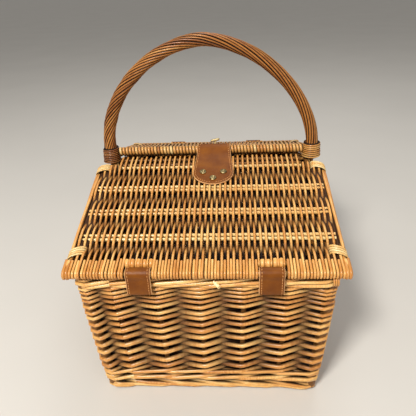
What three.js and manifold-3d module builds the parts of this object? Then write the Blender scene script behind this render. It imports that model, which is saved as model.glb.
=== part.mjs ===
// Willow picnic basket with two sloping lids, a fixed roped handle and leather fittings.
// Millimetres. X is across the basket (the handle's span), Y its length (front is -Y), Z up.
// The origin is the centre of the footprint, on the surface that the basket stands on.

import * as THREE from 'three';
import { mergeVertices } from 'three/addons/utils/BufferGeometryUtils.js';
import Module from 'manifold-3d';

const wasm = await Module();
wasm.setup();

const gap = 0.3; // between pieces that touch

// Body
const footHalfWidth = 139;
const footHalfLength = 201;
const wallTop = 177; // where the siding meets the front and rear rims
const wallSpread = 10; // how much further out each wall is at its top
const wallLean = wallSpread / wallTop;
const wallThickness = 12;
const cornerRadius = 18;
const footHeight = 13;
const footThickness = 14;
const waleTop = 26;
const baseHeight = 10;
const baseLift = 3;
const postRadius = 6.5;
const postInset = 8;
const rimMiddle = 205; // Y of the middle of the front and rear rims

// Rims
const rimHalfWidth = 153;
const rimHalfLength = 214;
const rimThickness = 16;
const rimTop = 193;
const rimHeight = rimTop - wallTop - gap;
const rimClearance = 0.6; // under the lids
const sideRimHalfLength = rimHalfLength - rimThickness - 0.5;

// Lids: each turns on the stick along its outer end
const hingeY = 210.5;
const hingeZ = 199.5;
const slope = THREE.MathUtils.degToRad(16.5);
const lidHalfWidth = 160;
const lidHalfThickness = 5.5;
const lidReach = 209; // from the hinge stick to the inner edge, along the slope
const hingeStickRadius = 4;
const innerStickRadius = 3;
const innerStickInset = 5;
const crossStickRadius = 3;
const crossStickPlaces = [14, 50.8, 57.2, 93.8, 100.2, 138.3, 144.7, 190];
const railRadius = 4;
const collarNotchDepth = 28;
const collarNotchX = 128.5;
const strapNotchDepth = 12.5;

// Hinge straps
const strapX = 74;
const strapWidth = 30;
const strapThickness = 2.4;
const strapNotchWidth = strapWidth + 1.4;

// Handle
const handleHalfSpan = 147;
const handleSpring = 276; // height where the arch begins
const handleRise = 142.5;
const handlePower = 1.8; // 2 is an ellipse, less is more pointed
const handleLean = -5; // how far the top stands to the left
const handleRadius = 8.75;
const collarRadius = 15.5;
const collarTop = 277;
const legRadius = 4;
const legClearance = 0.35;
const legFoot = 34;
const barRadius = 6;
const barHeight = 267;

// Closure: the leather flap and the turn-lock, a little to the right of centre
const closureX = 6;
const flapThickness = 2.4;
const flapFront = -76;
const flapFold = -39;
const flapRear = 50;
const flapFrontHalfWidth = 27.5;
const flapRearHalfWidth = 23;
const flapCrest = 6; // how far the flap rises to pass over the bar
const flapCrestWidth = 13;
const rivetPlaces = [[-14, 166], [14, 166], [0, 153]]; // across, and along the lid's slope
const rivetShankRadius = 1.5;
const rivetHeadRadius = 3.6;
const lockPlace = 181; // turn-lock on the rear lid, along its slope
const slotHalfLength = 8.2;
const slotHalfWidth = 4;
const lockPostRadius = 2.2;
const lockPostHeight = 10;

const willow = { color: 0xc08a4c, roughness: 0.55, metalness: 0 };
const paleWillow = { color: 0xd2a463, roughness: 0.55, metalness: 0 };
const darkWillow = { color: 0x7d4724, roughness: 0.5, metalness: 0 };
const leather = { color: 0x8a4a1c, roughness: 0.45, metalness: 0 };
const brass = { color: 0x9c8450, roughness: 0.35, metalness: 1 };

const basket = new THREE.Group();

function addMesh(parent, name, geometry, finish) {
  const mesh = new THREE.Mesh(geometry, new THREE.MeshStandardMaterial(finish));
  mesh.name = name;
  parent.add(mesh);
  return mesh;
}

// Solids and cuts

function toSolid(geometry) {
  const bare = geometry.clone();
  bare.deleteAttribute('normal');
  bare.deleteAttribute('uv');
  const merged = mergeVertices(bare, 1e-4);
  return new wasm.Manifold(new wasm.Mesh({
    numProp: 3,
    vertProperties: new Float32Array(merged.attributes.position.array),
    triVerts: new Uint32Array(merged.index.array),
  }));
}

function toGeometry(solid) {
  const { vertProperties, triVerts } = solid.getMesh();
  const geometry = new THREE.BufferGeometry();
  geometry.setAttribute('position', new THREE.BufferAttribute(vertProperties, 3));
  geometry.setIndex(new THREE.BufferAttribute(triVerts, 1));
  geometry.computeVertexNormals();
  return geometry;
}

function cut(geometry, tools) {
  return toGeometry(tools.reduce((solid, tool) => solid.subtract(toSolid(tool)), toSolid(geometry)));
}

function common(geometry, other) {
  return toGeometry(toSolid(geometry).intersect(toSolid(other)));
}

// Basic shapes

function box(low, high) {
  const size = high.map((value, i) => value - low[i]);
  const geometry = new THREE.BoxGeometry(...size);
  return geometry.translate(low[0] + size[0] / 2, low[1] + size[1] / 2, low[2] + size[2] / 2);
}

function rodBetween(start, end, radius, sides = 12) {
  const direction = end.clone().sub(start);
  const geometry = new THREE.CylinderGeometry(radius, radius, direction.length(), sides);
  const turn = new THREE.Quaternion().setFromUnitVectors(new THREE.Vector3(0, 1, 0), direction.normalize());
  const middle = start.clone().add(end).multiplyScalar(0.5);
  return geometry.applyQuaternion(turn).translate(middle.x, middle.y, middle.z);
}

function rodAcross(halfLength, y, z, radius, sides = 12) {
  return rodBetween(new THREE.Vector3(-halfLength, y, z), new THREE.Vector3(halfLength, y, z), radius, sides);
}

// A section drawn in Y and Z, carried along X from one place to another
function alongX(section, from, to) {
  const turn = new THREE.Matrix4().makeBasis(
    new THREE.Vector3(0, 1, 0), new THREE.Vector3(0, 0, 1), new THREE.Vector3(1, 0, 0));
  const geometry = new THREE.ExtrudeGeometry(section, { depth: to - from, bevelEnabled: false, curveSegments: 6 });
  return geometry.applyMatrix4(turn).translate(from, 0, 0);
}

function upright(outline, from, to) {
  const geometry = new THREE.ExtrudeGeometry(outline, { depth: to - from, bevelEnabled: false, curveSegments: 6 });
  return geometry.translate(0, 0, from);
}

function polygon(points) {
  return new THREE.Shape(points.map(([x, y]) => new THREE.Vector2(x, y)));
}

function roundedRectangle(path, halfWidth, halfLength, radius) {
  const x = halfWidth - radius;
  const y = halfLength - radius;
  path.absarc(x, y, radius, 0, Math.PI / 2);
  path.absarc(-x, y, radius, Math.PI / 2, Math.PI);
  path.absarc(-x, -y, radius, Math.PI, 1.5 * Math.PI);
  path.absarc(x, -y, radius, 1.5 * Math.PI, 2 * Math.PI);
  path.closePath();
  return path;
}

// Moves each point outward with height, as the basket's walls lean
function leanOut(geometry, alongWidth = true, alongLength = true) {
  const place = geometry.attributes.position;
  for (let i = 0; i < place.count; i += 1) {
    const shift = place.getZ(i) * wallLean;
    if (alongWidth) place.setX(i, place.getX(i) + Math.sign(place.getX(i)) * shift);
    if (alongLength) place.setY(i, place.getY(i) + Math.sign(place.getY(i)) * shift);
  }
  return geometry;
}

// Heights under and over the sloping lids
const lidTop = (y) => hingeZ + lidHalfThickness / Math.cos(slope) + (hingeY - Math.abs(y)) * Math.tan(slope);
const lidUnderside = (y) => lidTop(y) - 2 * lidHalfThickness / Math.cos(slope);
const sideRimTop = (y) => lidUnderside(y) - rimClearance;
const sideRimBottom = (y) => sideRimTop(y) - rimHeight;

// Body

function leaningRing(low, high, thickness) {
  const outline = roundedRectangle(new THREE.Shape(), footHalfWidth, footHalfLength, cornerRadius);
  const hole = roundedRectangle(
    new THREE.Path(), footHalfWidth - thickness, footHalfLength - thickness, cornerRadius - thickness / 2);
  outline.holes.push(hole);
  return leanOut(upright(outline, low, high));
}

function basePanel() {
  const outline = roundedRectangle(
    new THREE.Shape(), footHalfWidth - footThickness - gap, footHalfLength - footThickness - gap, 10);
  return upright(outline, baseLift, baseLift + baseHeight);
}

function endSiding(side) {
  const halfWidth = footHalfWidth - postInset - postRadius - gap;
  const wall = leanOut(box(
    [-halfWidth, -footHalfLength, waleTop + gap],
    [halfWidth, wallThickness - footHalfLength, wallTop]));
  if (side > 0) wall.rotateZ(Math.PI);
  return cut(wall, strapSlots(side));
}

// Each strap passes under the rim through a slot in the top of the siding
function strapSlots(side) {
  return [-strapX, strapX].map((x) => box(
    [x - strapNotchWidth / 2, side * rimMiddle - 20, wallTop - strapThickness - 2 * gap],
    [x + strapNotchWidth / 2, side * rimMiddle + 20, wallTop + 10]));
}

function sideSiding(side) {
  const reach = (z) => footHalfLength - postInset - postRadius - gap + z * wallLean;
  const low = waleTop + gap;
  const end = reach(wallTop) - 0.5;
  const section = polygon([
    [-reach(low), low], [reach(low), low], [end, sideRimBottom(end) - gap],
    [0, sideRimBottom(0) - gap], [-end, sideRimBottom(end) - gap],
  ]);
  const wall = alongX(section, footHalfWidth - wallThickness, footHalfWidth);
  if (side < 0) wall.rotateZ(Math.PI);
  return cut(leanOut(wall, true, false), [legChannel(side)]);
}

function cornerPost(sideX, sideY) {
  const place = (z) => new THREE.Vector3(
    sideX * (footHalfWidth - postInset + z * wallLean), sideY * (footHalfLength - postInset + z * wallLean), z);
  return rodBetween(place(waleTop + gap + 0.5), place(wallTop - 0.5), postRadius);
}

// Rims: the rolled border of long rods

function endRim(side) {
  const inner = rimHalfLength - rimThickness;
  const corner = cornerRadius - 4;
  const outline = new THREE.Shape();
  outline.moveTo(-rimHalfWidth, -inner);
  outline.absarc(corner - rimHalfWidth, corner - rimHalfLength, corner, Math.PI, 1.5 * Math.PI);
  outline.absarc(rimHalfWidth - corner, corner - rimHalfLength, corner, 1.5 * Math.PI, 2 * Math.PI);
  outline.lineTo(rimHalfWidth, -inner);
  const rim = upright(outline, wallTop + gap, rimTop);
  return side > 0 ? rim.rotateZ(Math.PI) : rim;
}

function sideRim(side) {
  const y = sideRimHalfLength;
  const section = polygon([
    [-y, sideRimBottom(y)], [0, sideRimBottom(0)], [y, sideRimBottom(y)],
    [y, sideRimTop(y)], [0, sideRimTop(0)], [-y, sideRimTop(y)],
  ]);
  const outer = rimHalfWidth - rimTop * wallLean;
  const rim = alongX(section, outer - rimThickness, outer);
  if (side < 0) rim.rotateZ(Math.PI);
  return cut(leanOut(rim, true, false), [legChannel(side)]);
}

// Handle

function legBetween(side, low, high, radius) {
  const place = (z) => new THREE.Vector3(side * (footHalfWidth - wallThickness / 2 + z * wallLean), 0, z);
  return rodBetween(place(low), place(high), radius);
}

const handleLeg = (side) => legBetween(side, legFoot, sideRimTop(0) + gap, legRadius);
const legChannel = (side) => legBetween(side, legFoot - 1, sideRimTop(0) + 12, legRadius + legClearance);

function handleBow() {
  const foot = sideRimTop(0) + 1;
  const arcSteps = 44;
  const points = [[-handleHalfSpan, foot], [-handleHalfSpan, (foot + handleSpring) / 2]];
  for (let i = 0; i <= arcSteps; i += 1) {
    const angle = Math.PI * (1 - i / arcSteps);
    const across = Math.sign(Math.cos(angle)) * Math.abs(Math.cos(angle)) ** (2 / handlePower);
    const up = Math.sin(angle) ** (2 / handlePower);
    points.push([handleHalfSpan * across + handleLean * Math.sin(angle), handleSpring + handleRise * up]);
  }
  points.push([handleHalfSpan, (foot + handleSpring) / 2], [handleHalfSpan, foot]);
  const path = new THREE.CatmullRomCurve3(points.map(([x, z]) => new THREE.Vector3(x, 0, z)));
  const section = new THREE.Shape().absarc(0, 0, handleRadius, 0, 2 * Math.PI);
  return new THREE.ExtrudeGeometry(section, { extrudePath: path, steps: 56, curveSegments: 6 });
}

function handleCollar(side) {
  const low = sideRimTop(0) + 0.7;
  const inner = handleRadius + 0.4;
  const edge = 3;
  const profile = [
    [inner, low], [collarRadius - edge, low], [collarRadius, low + edge],
    [collarRadius, collarTop - edge], [collarRadius - edge, collarTop], [inner, collarTop], [inner, low],
  ];
  const ring = new THREE.LatheGeometry(profile.map(([x, y]) => new THREE.Vector2(x, y)), 24);
  return ring.rotateX(Math.PI / 2).translate(side * handleHalfSpan, 0, 0);
}

// Hinge straps: a loop of leather round the hinge stick and the rim

function hingeStrap(x, side) {
  const inside = hingeStickRadius + gap;
  const nearY = -rimHalfLength - gap;
  const farY = -rimHalfLength + rimThickness + gap;
  const low = wallTop;
  const loop = (path, grow) => {
    path.moveTo(nearY - grow, low - grow);
    path.lineTo(farY + grow, low - grow);
    path.lineTo(farY + grow, rimTop + grow / 2);
    path.absarc(-hingeY, hingeZ, inside + grow, 0, Math.PI, false);
    path.closePath();
    return path;
  };
  const section = loop(new THREE.Shape(), strapThickness);
  section.holes.push(loop(new THREE.Path(), 0));
  const strap = alongX(section, -strapWidth / 2, strapWidth / 2);
  if (side > 0) strap.rotateZ(Math.PI);
  return strap.translate(x, 0, 0);
}

// Lids, in a frame whose origin is the hinge stick and whose Y runs up the slope

function lidOutline() {
  const x = lidHalfWidth - 2 * railRadius - gap;
  const notchX = collarNotchX;
  const notchY = lidReach - collarNotchDepth;
  return polygon([
    [-x, -20], [x, -20], [x, notchY], [notchX, notchY], [notchX, lidReach],
    [-notchX, lidReach], [-notchX, notchY], [-x, notchY],
  ]);
}

function lidSlab() {
  const section = new THREE.Shape();
  section.absarc(0, 0, lidHalfThickness, Math.PI / 2, 1.5 * Math.PI);
  section.lineTo(lidReach + 1, -lidHalfThickness);
  section.lineTo(lidReach + 1, lidHalfThickness);
  section.closePath();
  return common(alongX(section, -lidHalfWidth, lidHalfWidth), upright(lidOutline(), -20, 20));
}

function crossStickHalfLength(y) {
  const beside = lidHalfWidth - 2 * railRadius - gap;
  return y < lidReach - collarNotchDepth ? beside : collarNotchX;
}

function lidWeave(extraTools) {
  const wide = lidHalfWidth + 5;
  const channels = crossStickPlaces.map((y) => rodAcross(wide, y, 0, crossStickRadius + gap));
  const notches = [-strapX, strapX].map((x) => box(
    [x - strapNotchWidth / 2, -20, -10], [x + strapNotchWidth / 2, strapNotchDepth, 10]));
  return cut(lidSlab(), [
    ...channels, ...notches, ...extraTools,
    rodAcross(wide, 0, 0, hingeStickRadius + gap),
    rodAcross(wide, lidReach - innerStickInset, 0, innerStickRadius + gap),
  ]);
}

function lidRail(side) {
  const x = side * (lidHalfWidth - railRadius);
  const start = hingeStickRadius + 2 * gap;
  return rodBetween(
    new THREE.Vector3(x, start, 0), new THREE.Vector3(x, lidReach - collarNotchDepth, 0), railRadius);
}

function lidFrame(side) {
  const lid = new THREE.Group();
  lid.position.set(0, side * hingeY, hingeZ);
  lid.rotation.set(slope, 0, side > 0 ? Math.PI : 0, 'ZYX');
  lid.updateMatrix();
  return lid;
}

function addLid(name, side, extraTools) {
  const lid = lidFrame(side);
  basket.add(lid);
  addMesh(lid, `${name}_weave`, lidWeave(extraTools), willow);
  addMesh(lid, `${name}_hinge_stick`, rodAcross(lidHalfWidth - 1, 0, 0, hingeStickRadius), paleWillow);
  addMesh(lid, `${name}_inner_stick`,
    rodAcross(collarNotchX, lidReach - innerStickInset, 0, innerStickRadius), paleWillow);
  [['left', side], ['right', -side]].forEach(([hand, place]) => {
    addMesh(lid, `${name}_${hand}_rail`, lidRail(place), willow);
  });
  crossStickPlaces.forEach((y, i) => {
    addMesh(lid, `${name}_cross_stick_${i + 1}`,
      rodAcross(crossStickHalfLength(y), y, 0, crossStickRadius), paleWillow);
  });
  return lid;
}

// Closure

function flapUnder(y) {
  return lidTop(y) + gap + flapCrest * Math.exp(-((y / flapCrestWidth) ** 2));
}

function flapPiece(from, to, steps) {
  const under = [];
  for (let i = 0; i <= steps; i += 1) {
    const y = from + (to - from) * i / steps;
    under.push([y, flapUnder(y)]);
  }
  const over = under.map(([y, z]) => [y, z + flapThickness]).reverse();
  const sheet = alongX(polygon([...under, ...over]), -40, 40);
  return common(sheet, upright(flapOutline(), 200, 300)).translate(closureX, 0, 0);
}

function flapOutline() {
  const outline = new THREE.Shape();
  const shoulder = 22; // length of the rounded ends
  outline.moveTo(flapFrontHalfWidth, flapFront + shoulder);
  outline.lineTo(flapRearHalfWidth, 0);
  outline.lineTo(flapRearHalfWidth, flapRear - shoulder);
  outline.absellipse(0, flapRear - shoulder, flapRearHalfWidth, shoulder, 0, Math.PI);
  outline.lineTo(-flapRearHalfWidth, 0);
  outline.lineTo(-flapFrontHalfWidth, flapFront + shoulder);
  outline.absellipse(0, flapFront + shoulder, flapFrontHalfWidth, shoulder, Math.PI, 2 * Math.PI);
  return outline;
}

function rivetHole([x, y]) {
  const start = new THREE.Vector3(closureX + x, y, -20);
  return rodBetween(start, new THREE.Vector3(closureX + x, y, 20), rivetShankRadius + gap, 10);
}

function rivet([x, y]) {
  const seat = lidHalfThickness + gap + flapThickness + 0.5;
  const under = -lidHalfThickness - gap;
  const profile = [
    [0, under - 1.2], [rivetHeadRadius - 0.4, under - 1.2], [rivetHeadRadius, under],
    [rivetShankRadius, under], [rivetShankRadius, seat], [rivetHeadRadius, seat],
    [rivetHeadRadius - 0.5, seat + 0.8], [rivetHeadRadius - 1.8, seat + 1.4], [0, seat + 1.5],
  ];
  const turned = new THREE.LatheGeometry(profile.map(([r, h]) => new THREE.Vector2(r, h)), 16);
  return turned.rotateX(Math.PI / 2).translate(closureX + x, y, 0);
}

function slotOutline(path, halfLength, halfWidth) {
  return roundedRectangle(path, halfLength, halfWidth, halfWidth - 0.01);
}

function slotTool(rearLid) {
  const tool = upright(slotOutline(new THREE.Shape(), slotHalfLength, slotHalfWidth), 0, 25);
  return tool.translate(-closureX, lockPlace, 0).applyMatrix4(rearLid.matrix);
}

const lockSeat = lidHalfThickness + gap;
const eyeletSeat = lockSeat + flapThickness + 1;

function flapEyelet() {
  const plate = slotOutline(new THREE.Shape(), slotHalfLength + 4, slotHalfWidth + 4);
  plate.holes.push(slotOutline(new THREE.Path(), slotHalfLength, slotHalfWidth));
  return upright(plate, eyeletSeat, eyeletSeat + 1.2).translate(-closureX, lockPlace, 0);
}

function lockPlate() {
  const low = lidHalfThickness + 0.05;
  const plate = slotOutline(new THREE.Shape(), slotHalfLength - 1, slotHalfWidth - 0.6);
  return upright(plate, low, low + 1).translate(-closureX, lockPlace, 0);
}

function turnButton() {
  const foot = lidHalfThickness + 1.4;
  const top = lidHalfThickness + lockPostHeight;
  const barSection = slotOutline(new THREE.Shape(), slotHalfLength - 1.2, 2.4);
  const post = upright(new THREE.Shape().absarc(0, 0, lockPostRadius, 0, 2 * Math.PI), foot, top);
  const bar = upright(barSection, top - 0.5, top + 3.5);
  return toGeometry(toSolid(post).add(toSolid(bar))).translate(-closureX, lockPlace, 0);
}

// Assembly

addMesh(basket, 'base_panel', basePanel(), willow);
addMesh(basket, 'foot_border', leaningRing(0, footHeight, footThickness), paleWillow);
addMesh(basket, 'lower_wale', leaningRing(footHeight + gap, waleTop, wallThickness), paleWillow);
addMesh(basket, 'centre_bar',
  rodAcross(handleHalfSpan - collarRadius - gap, 0, barHeight, barRadius, 16), paleWillow);
addMesh(basket, 'handle_bow', handleBow(), willow);

[['front', -1], ['rear', 1]].forEach(([end, side]) => {
  addMesh(basket, `${end}_siding`, endSiding(side), willow);
  addMesh(basket, `${end}_rim`, endRim(side), paleWillow);
  [['left', -1], ['right', 1]].forEach(([hand, place]) => {
    addMesh(basket, `corner_post_${end}_${hand}`, cornerPost(place, side), willow);
    addMesh(basket, `hinge_strap_${end}_${hand}`, hingeStrap(place * strapX, side), leather);
  });
});

[['left', -1], ['right', 1]].forEach(([hand, side]) => {
  addMesh(basket, `${hand}_siding`, sideSiding(side), willow);
  addMesh(basket, `${hand}_rim`, sideRim(side), paleWillow);
  addMesh(basket, `handle_leg_${hand}`, handleLeg(side), willow);
  addMesh(basket, `handle_collar_${hand}`, handleCollar(side), side < 0 ? darkWillow : willow);
});

const frontLid = addLid('front_lid', -1, rivetPlaces.map(rivetHole));
const rearLid = addLid('rear_lid', 1, []);

const holesInFlap = rivetPlaces.map((place) => rivetHole(place).applyMatrix4(frontLid.matrix));
addMesh(basket, 'flap_base', cut(flapPiece(flapFront, flapFold, 8), holesInFlap), leather);
addMesh(basket, 'closure_flap', cut(flapPiece(flapFold + gap, flapRear, 30), [slotTool(rearLid)]), leather);
rivetPlaces.forEach((place, i) => addMesh(frontLid, `flap_rivet_${i + 1}`, rivet(place), brass));
addMesh(rearLid, 'flap_eyelet', flapEyelet(), brass);
addMesh(rearLid, 'lock_plate', lockPlate(), brass);
addMesh(rearLid, 'turn_button', turnButton(), brass);

export default basket;
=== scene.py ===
import math

import bmesh
import bpy
import numpy as np
from mathutils import Matrix, Vector


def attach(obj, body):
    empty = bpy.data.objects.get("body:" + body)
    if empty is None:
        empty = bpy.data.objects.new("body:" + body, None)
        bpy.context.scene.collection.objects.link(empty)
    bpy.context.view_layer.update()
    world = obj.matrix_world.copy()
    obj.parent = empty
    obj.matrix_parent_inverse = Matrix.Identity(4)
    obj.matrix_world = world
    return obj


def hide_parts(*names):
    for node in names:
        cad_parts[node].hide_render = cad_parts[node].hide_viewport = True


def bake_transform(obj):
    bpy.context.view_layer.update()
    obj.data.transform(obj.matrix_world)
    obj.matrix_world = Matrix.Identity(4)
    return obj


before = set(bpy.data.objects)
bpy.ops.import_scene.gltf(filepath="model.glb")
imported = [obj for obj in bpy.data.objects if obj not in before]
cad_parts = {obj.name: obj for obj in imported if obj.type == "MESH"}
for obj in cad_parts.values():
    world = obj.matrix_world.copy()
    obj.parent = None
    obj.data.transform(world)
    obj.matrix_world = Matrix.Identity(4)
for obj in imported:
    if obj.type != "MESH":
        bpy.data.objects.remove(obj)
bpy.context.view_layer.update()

# Willow picnic basket: every rod of the weave is a guide line that Geometry Nodes turn into a rod.
# Guides are worked out in millimetres and become metres when their mesh is made.

mm = 0.001
dice = np.random.default_rng(41)


class Wire:  # one output socket, which sums and products can be written with
    def __init__(self, board, socket):
        self.board = board
        self.socket = socket

    def math(self, operation, other=None, flip=False):
        pair = [self] if other is None else [self, other]
        if flip:
            pair.reverse()
        return self.board.add("ShaderNodeMath", {"operation": operation}, dict(enumerate(pair)))

    def __add__(self, other):
        return self.math("ADD", other)

    def __radd__(self, other):
        return self.math("ADD", other, True)

    def __sub__(self, other):
        return self.math("SUBTRACT", other)

    def __rsub__(self, other):
        return self.math("SUBTRACT", other, True)

    def __mul__(self, other):
        return self.math("MULTIPLY", other)

    def __rmul__(self, other):
        return self.math("MULTIPLY", other, True)

    def step(self, low, high):  # 0 below low, 1 above high, smooth between
        return self.board.add("ShaderNodeMapRange", {"interpolation_type": "SMOOTHSTEP"},
                              {"Value": self, "From Min": low, "From Max": high})


class Board:  # a node tree, with one way to add any node
    def __init__(self, tree):
        self.tree = tree

    def add(self, kind, settings=None, values=None, output=0):
        node = self.tree.nodes.new(kind)
        for name, setting in (settings or {}).items():
            if name == "stops":
                self.fillRamp(node.color_ramp, setting)
            else:
                setattr(node, name, setting)
        for key, value in (values or {}).items():
            if isinstance(value, Wire):
                self.tree.links.new(value.socket, node.inputs[key])
            else:
                node.inputs[key].default_value = value
        return Wire(self, node.outputs[output])

    def fillRamp(self, ramp, stops):
        while len(ramp.elements) < len(stops):
            ramp.elements.new(0.5)
        for element, (place, colour) in zip(ramp.elements, stops):
            element.position = place
            element.color = colour

    def mix(self, factor, first, second, blend="MIX"):
        settings = {"data_type": "RGBA", "blend_type": blend}
        return self.add("ShaderNodeMix", settings, {0: factor, 6: first, 7: second}, 2)

    def noise(self, place, scale, detail=3.0):
        return self.add("ShaderNodeTexNoise", {}, {"Vector": place, "Scale": scale, "Detail": detail})

    def attribute(self, name, output="Fac"):
        return self.add("ShaderNodeAttribute", {"attribute_name": name}, output=output)

    def objectPlace(self):
        return self.add("ShaderNodeTexCoord", output="Object")

    def bump(self, strength, distance, height):
        return self.add("ShaderNodeBump", {}, {"Strength": strength, "Distance": distance, "Height": height})

    def finish(self, wires, fixed=None):  # fills in the shader's sockets
        shader = self.tree.nodes["Principled BSDF"]
        for socket, wire in wires.items():
            self.tree.links.new(wire.socket, shader.inputs[socket])
        for socket, value in (fixed or {}).items():
            shader.inputs[socket].default_value = value


def linear(red, green, blue):  # a screen colour, 0 to 255, as the shader wants it
    channels = [value / 255 for value in (red, green, blue)]
    return [c / 12.92 if c <= 0.04045 else ((c + 0.055) / 1.055) ** 2.4 for c in channels] + [1.0]


def newFinish(name):
    material = bpy.data.materials.new(name)
    material.use_nodes = True
    return material, Board(material.node_tree)


# Willow: the colour runs along each rod, darkens with painted shade in the crevices and on rod sides that
# face away, and is streaked with the grain

willowLook = {
    "bark": linear(104, 54, 18),
    "brown": linear(162, 98, 38),
    "honey": linear(206, 139, 65),
    "straw": linear(233, 180, 104),
    "pale": linear(246, 220, 158),
    "red": linear(128, 52, 30),
    "paintedShade": linear(24, 9, 3),
}


def willowFinish(name, lightness=0.0, redness=0.0, gloss=0.4, varnish=0.5):
    material, board = newFinish(name)
    look = willowLook
    tint = board.attribute("tint")
    along = board.attribute("alongRod")
    ringX = board.add("ShaderNodeSeparateXYZ", {}, {0: board.attribute("ringPlace", "Vector")})
    ringY = Wire(board, ringX.socket.node.outputs["Y"])
    # Painted shade: the shade attribute plus depth on the rod's outward side, clamped, darkens the colour
    # where rods cross and on their far sides
    light = board.attribute("shade") + board.attribute("depth") * ringX
    shade = board.add("ShaderNodeClamp", {}, {"Value": light})  # dark where rods cross
    grainPlace = board.add("ShaderNodeCombineXYZ", {}, {
        0: along * 26.0 + tint * 57.0, 1: ringX * 1.6, 2: ringY * 1.6})
    patchPlace = board.add("ShaderNodeCombineXYZ", {}, {
        0: along * 60.0 + tint * 91.0, 1: ringX * 0.35, 2: ringY * 0.35})
    streak = board.noise(grainPlace, 2.0, 5.0)
    patch = board.noise(patchPlace, 1.0, 2.0)
    fleck = board.noise(grainPlace, 6.5, 2.0)
    level = tint + (streak - 0.5) * 0.4 + (patch - 0.5) * 0.4 + lightness
    wood = board.add("ShaderNodeValToRGB", {"stops": [
        (0.02, look["bark"]), (0.27, look["brown"]), (0.52, look["honey"]),
        (0.76, look["straw"]), (1.0, look["pale"])]}, {0: level})
    reddened = board.mix(redness, wood, look["red"], "MULTIPLY")
    flecked = board.mix(fleck.step(0.62, 0.74) * 0.35, reddened, look["bark"])
    # Where this painted shade is low, the colour goes to the painted shade colour and the varnish coat thins
    # out
    board.finish({
        "Base Color": board.mix(1.0 - shade, flecked, look["paintedShade"]),
        "Roughness": gloss + (1.0 - shade) * 0.35 + (streak - 0.5) * 0.25,
        "Coat Weight": shade * varnish,
        "Normal": board.bump(0.35, 0.0004, streak + fleck * 0.4),
    }, {"Coat Roughness": 0.2, "Specular IOR Level": 0.3})
    return material


willow = willowFinish("willowHoney")
paleWillow = willowFinish("willowPale", 0.07)
darkWillow = willowFinish("willowDark", -0.2, 0.55, 0.36)
handleWillow = willowFinish("willowHandle", -0.14, 0.22, 0.38, 0.25)


# Painted shade: these near-black rods stand in for the shadowed inside of the wall, seen through the chinks
def shadeFillFinish():  # the rods in the middle of the wall, which no light reaches
    material, board = newFinish("willowHollow")
    cloud = board.noise(board.objectPlace(), 90.0)
    colour = board.mix(cloud.step(0.3, 0.7), linear(16, 7, 3), linear(38, 19, 8))
    board.finish({"Base Color": colour, "Roughness": 0.8 + cloud * 0.2}, {"Specular IOR Level": 0.08})
    return material


shadeFillWillow = shadeFillFinish()

leatherLook = {
    "tan": linear(124, 68, 8),
    "deep": linear(106, 54, 4),
    "worn": linear(142, 84, 14),
    "edge": linear(222, 172, 118),
}


def leatherFinish():
    material, board = newFinish("saddleLeather")
    look = leatherLook
    place = board.objectPlace()
    edge = board.attribute("edgeWear")
    cloud = board.noise(place, 60.0, 4.0)
    grain = board.noise(place, 900.0)
    pores = board.add("ShaderNodeTexVoronoi", {}, {"Vector": place, "Scale": 1400.0})
    base = board.mix(cloud.step(0.3, 0.7), look["deep"], look["tan"])
    worn = board.mix(cloud.step(0.55, 0.8) * 0.25, base, look["worn"])
    edged = board.mix(edge.step(0.35, 0.95), worn, look["edge"])
    creased = board.mix(grain.step(0.58, 0.75) * 0.4, edged, look["deep"])
    board.finish({
        "Base Color": creased,
        "Roughness": 0.34 + grain * 0.14 + edge * 0.2,
        "Normal": board.bump(0.4, 0.0004, pores * 0.6 + grain),
    }, {"Specular IOR Level": 0.22})
    return material


def threadFinish():
    material, board = newFinish("orangeThread")
    twist = board.noise(board.objectPlace(), 1800.0, 2.0)
    colour = board.mix(twist.step(0.3, 0.7), linear(176, 104, 44), linear(236, 178, 108))
    board.finish({"Base Color": colour, "Roughness": 0.55 + twist * 0.2})
    return material


def brassFinish(name, bright, dull):
    material, board = newFinish(name)
    place = board.objectPlace()
    cloud = board.noise(place, 240.0, 4.0)
    scratch = board.noise(place, 1500.0, 2.0)
    board.finish({
        "Base Color": board.mix(cloud.step(0.35, 0.7), bright, dull),
        "Roughness": 0.26 + cloud * 0.25 + scratch * 0.08,
        "Normal": board.bump(0.15, 0.0002, scratch),
    }, {"Metallic": 1.0})
    return material


leather = leatherFinish()
thread = threadFinish()
agedBrass = brassFinish("agedBrass", linear(186, 166, 118), linear(96, 84, 58))
paleBrass = brassFinish("paleBrass", linear(236, 214, 160), linear(172, 144, 92))
print("finishes made")


# Geometry Nodes trees

def newTree(name, sockets):
    tree = bpy.data.node_groups.new(name, "GeometryNodeTree")
    for label, direction, kind in sockets:
        tree.interface.new_socket(label, in_out=direction, socket_type=kind)
    board = Board(tree)
    source = tree.nodes.new("NodeGroupInput")
    given = {output.name: Wire(board, output) for output in source.outputs if output.name}
    return tree, board, given


def endTree(board, shape, finish):
    whole = board.add("GeometryNodeRealizeInstances", {}, {0: shape})
    finished = board.add("GeometryNodeSetMaterial", {}, {"Geometry": whole, "Material": finish})
    sink = board.tree.nodes.new("NodeGroupOutput")
    board.tree.links.new(finished.socket, sink.inputs[0])


def named(board, name, kind):
    return board.add("GeometryNodeInputNamedAttribute", {"data_type": kind}, {"Name": name})


def stored(board, shape, name, value, kind):
    return board.add("GeometryNodeStoreNamedAttribute", {"data_type": kind, "domain": "POINT"}, {
        "Geometry": shape, "Name": name, "Value": value})


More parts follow.
